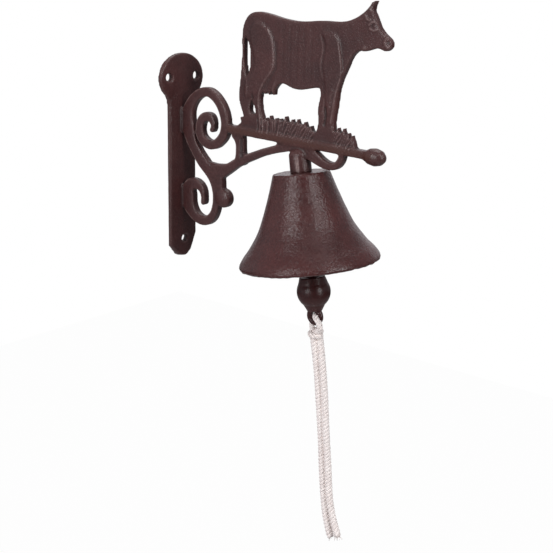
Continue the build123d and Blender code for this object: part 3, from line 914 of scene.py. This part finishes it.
# Routes of the two free ends, from the knot down
TAIL_LEFT = [
    (120.3, -1.3, -153.2), (123.5, 0.2, -174.8), (126.5, -0.3, -200.0), (128.8, 0.2, -225.0),
    (130.7, -0.2, -247.5), (132.7, 0.2, -267.5), (135.3, -0.1, -282.4), (139.1, 0.2, -294.7),
]
TAIL_RIGHT = [
    (123.4, 1.3, -153.4), (127.9, -0.2, -173.4), (130.7, 0.3, -199.0), (133.0, -0.2, -223.1),
    (135.0, 0.2, -244.0), (136.9, -0.2, -264.5), (140.0, 0.1, -279.8), (145.4, -0.2, -291.4),
]
TAIL_PITCH = 7.6
TAIL_TAPER = 0.25
TAIL_TAPER_LENGTH = 2.0
TAIL_FLUFF = 1.26

# Loop and core of the knot, as (outward, across, down) from the clapper's lower eye
LOOP = [
    (1.0, -0.6, 11.0), (3.0, -1.4, 9.6), (5.7, -2.9, 7.4), (6.7, -3.9, 4.6), (5.5, -4.0, 2.0),
    (2.9, -2.9, 0.3), (0.2, 0, 0.1), (-1.8, 2.8, 0.5), (-3.4, 4.0, 2.6), (-4.6, 3.8, 5.0),
    (-4.8, 2.6, 7.6), (-2.8, 1.2, 9.8), (-1.0, 0.6, 11.0),
]
LOOP_PITCH = 7.2
CORE = [(0.2, -0.4, 8.2), (0, 0, 10.2), (-0.2, 0.3, 12.4), (0.1, 0.1, 14.0)]
CORE_PITCH = 8.0
CORE_FLUFF = 1.2
CORE_PHASE = 1.9

# Turn of cord that goes round the knot: a little over once, downward
WRAP_POINTS = 15
WRAP_POINTS_PER_TURN = 12
WRAP_START = -0.6
WRAP_RADII = (3.5, 3.2)
WRAP_TOP = 9.6
WRAP_STEP = 0.26
WRAP_PITCH = 7.0
WRAP_FLUFF = 1.02
WRAP_PHASE = 0.7

# Loose yarn ends at a cut: how far they spread, and their size
FRAY_SPREAD = 0.34
FRAY_BEND = 0.35
FRAY_SCATTER = 0.55
FRAY_SETBACK = 0.6
FRAY_ROOT = 1.5
FRAY_LENGTH = 3.9
FRAY_SHORTEST = 0.5
FRAY_RADIUS = 0.42
FRAY_TAPER = 0.5
FRAY_SIDES = 5
FRAY_RINGS = 7


def route_curve(name, points):
    """The cord's centre line as one smooth spline through its route, read back as points in metres."""
    curve = bpy.data.curves.new(name, "CURVE")
    curve.dimensions = "3D"
    curve.resolution_u = 24
    spline = curve.splines.new("NURBS")
    spline.points.add(len(points) - 1)
    for point, place in zip(spline.points, points):
        point.co = (*(value * MM for value in place), 1.0)
    spline.order_u = 3
    spline.use_endpoint_u = True
    holder = in_scene(name, curve)
    bpy.context.view_layer.update()
    evaluated = holder.evaluated_get(bpy.context.evaluated_depsgraph_get())
    mesh = bpy.data.meshes.new_from_object(evaluated)
    line = [vertex.co.copy() for vertex in mesh.vertices]
    bpy.data.objects.remove(holder)
    bpy.data.meshes.remove(mesh)
    first = Vector(points[0]) * MM
    if (line[0] - first).length > (line[-1] - first).length:
        line.reverse()
    return line


def even_points(line, spacing):
    """Points at an even spacing along a line, with their distances along it."""
    places = np.array([tuple(p) for p in line])
    runs = np.linalg.norm(np.diff(places, axis=0), axis=1)
    reach = np.concatenate(([0], np.cumsum(runs)))
    count = max(2, int(round(reach[-1] / spacing)) + 1)
    wanted = np.linspace(0, reach[-1], count)
    return np.stack([np.interp(wanted, reach, places[:, k]) for k in range(3)], axis=1), wanted


def carried_frames(centres, reference):
    """Two directions square to a line at each of its points, carried along it without a twist."""
    ahead = np.gradient(centres, axis=0)
    ahead /= np.linalg.norm(ahead, axis=1)[:, None]
    normal = np.cross(ahead[0], reference)
    normal /= np.linalg.norm(normal)
    frames = []
    for heading in ahead:
        normal = normal - heading * (normal @ heading)
        normal /= np.linalg.norm(normal)
        frames.append((normal, np.cross(heading, normal)))
    return frames


def tube(vertices, faces, centres, radii, sides):
    """Adds a round tube with closed ends along centre points to a mesh in the making."""
    start = len(vertices)
    frames = carried_frames(centres, TUBE_REFERENCE)
    for centre, (normal, other), radius in zip(centres, frames, radii):
        for s in range(sides):
            angle = 2 * math.pi * s / sides
            vertices.append(centre + (normal * math.cos(angle) + other * math.sin(angle)) * radius)
    for i in range(len(centres) - 1):
        for s in range(sides):
            a = start + i * sides + s
            b = start + i * sides + (s + 1) % sides
            faces.append((a, b, b + sides, a + sides))
    faces.append(tuple(start + s for s in reversed(range(sides))))
    faces.append(tuple(start + (len(centres) - 1) * sides + s for s in range(sides)))


def strands(vertices, faces, hollow_shades, line, radius, pitch, phase=0.0, taper=0.0):
    """Yarns twisted round a line, as a laid cord of the given radius, with how deep each point lies for
    painted shade in the hollows.
    """
    places, reach = even_points(line, YARN_SPACING * MM)
    frames = carried_frames(places, CORD_REFERENCE)
    yarn = radius * YARN_SHARE
    ends = 1 - taper * smoothstep(reach[-1] - TAIL_TAPER_LENGTH * MM, reach[-1], reach)
    for k in range(YARNS):
        turn = 2 * math.pi * (reach / pitch + k / YARNS) + phase
        centres = []
        for place, (normal, other), angle in zip(places, frames, turn):
            sideways = normal * math.cos(angle) + other * math.sin(angle)
            centres.append(place + sideways * (radius - yarn))
        swell = 1 + YARN_SWELL * np.sin(reach / MM * 0.9 + k * 2.1)
        start = len(vertices)
        tube(vertices, faces, np.array(centres), yarn * swell * ends, YARN_SIDES)
        rings = np.array(vertices[start:]).reshape(len(places), YARN_SIDES, 3)
        depth = np.linalg.norm(rings - places[:, None], axis=2) / radius
        hollow_shades.extend(((HOLLOW_START - depth) / (HOLLOW_START - HOLLOW_END)).ravel())


def fray(name, end, heading, count, material, seed):
    """Loose yarn ends that spread from the cord's cut end."""
    vertices, faces = [], []
    steps = np.linspace(0, 1, FRAY_RINGS)
    draw = np.random.default_rng(seed)
    for _ in range(count):
        way = heading + draw.normal(0, FRAY_SPREAD, 3)
        way /= np.linalg.norm(way)
        start = end + draw.normal(0, FRAY_SCATTER, 3) * MM - heading * FRAY_ROOT * MM
        bend = draw.normal(0, FRAY_BEND, 3)
        reach = FRAY_LENGTH * MM * draw.uniform(FRAY_SHORTEST, 1.0)
        centres = np.array([start + (way * t + bend * t * t * 0.5) * reach for t in steps])
        tube(vertices, faces, centres, FRAY_RADIUS * MM * (1 - FRAY_TAPER * steps), FRAY_SIDES)
    return add_piece(name, mesh_of(name, vertices, faces), material, "clapper")


def cord_end(name, node, points, material, seed, loose_yarns):
    """One free end: a laid cord along its route, with loose yarns where it was cut."""
    line = route_curve(name + "_route", points)
    places, reach = even_points(line, ROUTE_SPACING * MM)
    heading = places[-1] - places[-3]
    heading /= np.linalg.norm(heading)
    cut = places[-1] - heading * FRAY_SETBACK * MM
    loose = fray(name + "_fray", cut, heading, loose_yarns, material, seed)
    vertices, faces, hollow_shades = [], [], []
    radius = CORD_DIAMETER / 2 * MM * TAIL_FLUFF
    strands(vertices, faces, hollow_shades, line, radius, TAIL_PITCH * MM, phase=seed, taper=TAIL_TAPER)
    piece = add_piece(name, mesh_of(name, vertices, faces), material, "clapper")
    # Painted shade in the hollows between its yarns
    store(piece.data, "hollow_shade", hollow_shades)
    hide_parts(node)


def cord_knot(material):
    """The doubled loop through the clapper's eye, and the overhand knot that closes it."""
    out, across, up = hanging_frame(CORD_LEAN)

    def curved(points, steps):
        places = [np.array((CORD_EYE + out * a + across * b - up * c) * MM) for a, b, c in points]
        return smooth_line(places, steps)

    wrap = []
    for i in range(WRAP_POINTS):
        angle = 2 * math.pi * i / WRAP_POINTS_PER_TURN + WRAP_START
        outward = WRAP_RADII[0] * math.cos(angle)
        sideways = WRAP_RADII[1] * math.sin(angle)
        wrap.append((outward, sideways, WRAP_TOP + WRAP_STEP * i))
    vertices, faces, hollow_shades = [], [], []
    radius = CORD_DIAMETER / 2 * MM
    parts = [
        (curved(LOOP, steps=8), radius, LOOP_PITCH, 0.0),
        (curved(wrap, steps=5), radius * WRAP_FLUFF, WRAP_PITCH, WRAP_PHASE),
        (curved(CORE, steps=5), radius * CORE_FLUFF, CORE_PITCH, CORE_PHASE),
    ]
    for line, thickness, pitch, phase in parts:
        strands(vertices, faces, hollow_shades, line, thickness, pitch * MM, phase=phase)
    mesh = mesh_of("cord_knot_tied", vertices, faces)
    piece = add_piece("cord_knot_tied", mesh, material, "clapper")
    # Painted shade in the hollows between its yarns
    store(piece.data, "hollow_shade", hollow_shades)
    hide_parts("cord_knot")
    return piece


# Studio. Lengths here are in metres.

# Softboxes, as azimuth to the right of the camera and elevation, seen from what they light,
# then distance, width, height and power
LIT_MIDDLE = Vector((0.09, 0, -0.05))
SOFTBOXES = {
    "left_softbox": (-42, 20, 1.4, 0.2, 1.1, 7.6),
    "right_softbox": (42, 20, 1.4, 0.2, 1.3, 9.0),
    "front_softbox": (12, 54, 1.4, 0.3, 0.16, 1.2),
    "top_softbox": (170, 68, 1.5, 1.2, 1.2, 11.0),
}

# Brightness of the room round the object, where 1 is white
LEFT_WALL_LIGHT = 0.44
RIGHT_WALL_LIGHT = 0.34
DARK_CORNER_LIGHT = 0.03
AMBIENT_LIGHT = 0.34
AMBIENT_TINT = (1.0, 0.96, 1.0, 1.0)
WHITE = (1.0, 1.0, 1.0, 1.0)

FLOOR_HALF = 2.6
FLOOR_HEIGHT = -1.3
FLOOR_GREY = (0.5, 0.5, 0.5, 1.0)


def camera():
    """The photograph's camera. Gives the direction that it looks in."""
    yaw, pitch, roll = (math.radians(a) for a in (CAMERA_YAW, CAMERA_PITCH, CAMERA_ROLL))
    forward = Vector((-math.sin(yaw) * math.cos(pitch), math.cos(yaw) * math.cos(pitch), -math.sin(pitch)))
    level = Vector((math.cos(yaw), math.sin(yaw), 0))
    upright = level.cross(forward)
    right = level * math.cos(roll) + upright * math.sin(roll)
    up = upright * math.cos(roll) - level * math.sin(roll)
    data = bpy.data.cameras.new("camera")
    data.lens = LENS
    data.sensor_width = SENSOR_WIDTH
    data.clip_start = 0.05
    data.clip_end = 50.0
    made = in_scene("camera", data)
    turn = Matrix((right, up, -forward)).transposed().to_4x4()
    made.matrix_world = Matrix.Translation(Vector(CAMERA_PLACE) * MM) @ turn
    bpy.context.scene.camera = made
    return forward


def softbox(name, azimuth, elevation, distance, width, height, power):
    """An area lamp that faces the middle of the object."""
    yaw = math.radians(CAMERA_YAW + azimuth)
    rise = math.radians(elevation)
    back = Vector((math.sin(yaw) * math.cos(rise), -math.cos(yaw) * math.cos(rise), math.sin(rise)))
    data = bpy.data.lights.new(name, "AREA")
    data.shape = "RECTANGLE"
    data.size = width
    data.size_y = height
    data.energy = power
    made = in_scene(name, data)
    made.location = LIT_MIDDLE + back * distance
    made.rotation_euler = (-back).to_track_quat("-Z", "Y").to_euler()


def room(forward):
    """White behind the object, with a bright backdrop and two side walls for its gloss to show."""
    world = bpy.data.worlds.new("studio")
    bpy.context.scene.world = world
    world.use_nodes = True
    paint = Paint(world.node_tree)
    heading = paint.node("ShaderNodeTexCoord", out="Generated")

    def toward(direction):
        pair = {0: heading, 1: tuple(direction)}
        return paint.node("ShaderNodeVectorMath", {"operation": "DOT_PRODUCT"}, pair, out="Value")

    # How far each way from the object points ahead, to the right and up, and how bright it is there
    ahead = toward(forward)
    right = toward(Vector((forward.y, -forward.x, 0)).normalized())
    height = toward(Vector((0, 0, 1)))
    backdrop = ((ahead - 0.55) * 2.6).clamped() * (height * 2.6 + 0.75).clamped()
    left_wall = (right * -1.1).clamped() * (height * 1.5 - ahead * 1.2 + 1.0).clamped() * LEFT_WALL_LIGHT
    right_wall = (right * 1.1).clamped() * (height * 2.0 + 0.4).clamped() * RIGHT_WALL_LIGHT
    mirrored = (backdrop + left_wall + right_wall + DARK_CORNER_LIGHT).clamped()
    ambient = AMBIENT_LIGHT + backdrop * 0.15 + left_wall * 1.25
    in_gloss = (paint.ray("Is Glossy Ray") + paint.ray("Is Transmission Ray")).clamped()
    shown = ambient + in_gloss * (mirrored - ambient)
    seen = paint.ray("Is Camera Ray")
    strength = shown + seen * (1.0 - shown)
    tint = paint.mix(seen, AMBIENT_TINT, WHITE)
    glow = paint.node("ShaderNodeBackground", Color=tint, Strength=strength)
    paint.node("ShaderNodeOutputWorld", Surface=glow)


def pale_floor():
    """A floor that the camera sees as nearly white."""
    corners = [(-1, -1), (1, -1), (1, 1), (-1, 1)]
    vertices = [(a * FLOOR_HALF, b * FLOOR_HALF, FLOOR_HEIGHT) for a, b in corners]
    mesh = mesh_of("floor", vertices, [(0, 1, 2, 3)])
    material, paint = shaded("pale_floor")
    matt = paint.node("ShaderNodeBsdfDiffuse", Color=FLOOR_GREY)
    glow = paint.node("ShaderNodeEmission", Color=WHITE, Strength=1.0)
    seen = paint.ray("Is Camera Ray")
    mixed = paint.node("ShaderNodeMixShader", numbered={0: seen * 0.98, 1: matt, 2: glow})
    paint.node("ShaderNodeOutputMaterial", Surface=mixed)
    mesh.materials.append(material)
    floor = in_scene("floor", mesh)


bpy.context.scene.view_settings.view_transform = "Standard"
room(camera())
pale_floor()
for lamp, values in SOFTBOXES.items():
    softbox(lamp, *values)

steel = plated_steel("plated_steel")
for node in ("eye_bolt", "washer", "lock_nut", "clapper_link"):
    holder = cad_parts[node]
    holder.data.materials.clear()
    holder.data.materials.append(steel)

bracket_iron = painted_iron("painted_iron", grain_scale=900.0, grain_depth=0.17, sheen_roughness=0.31)
bell_iron = painted_iron(
    "painted_bell", grain_scale=740.0, grain_depth=0.27, sheen_roughness=0.21, shade=(0.98, 0.86, 0.86)
)
# The clapper's paint is a darker, redder copy of the iron paint: painted shade for its place under the bell
clapper_iron_shaded = painted_iron(
    "painted_clapper", grain_scale=900.0, grain_depth=0.09, sheen_roughness=0.33,
    shade=(0.76, 0.5, 0.5), gloss=0.45,
)
bracket_casting(bracket_iron)
bell_casting(bell_iron)
clapper_forging(clapper_iron_shaded)

yarn = cotton("cotton_yarn")
knot = cord_knot(yarn)
cord_end("cord_end_left", "cord_tail_left", TAIL_LEFT, yarn, seed=3, loose_yarns=18)
cord_end("cord_end_right", "cord_tail_right", TAIL_RIGHT, yarn, seed=5, loose_yarns=44)
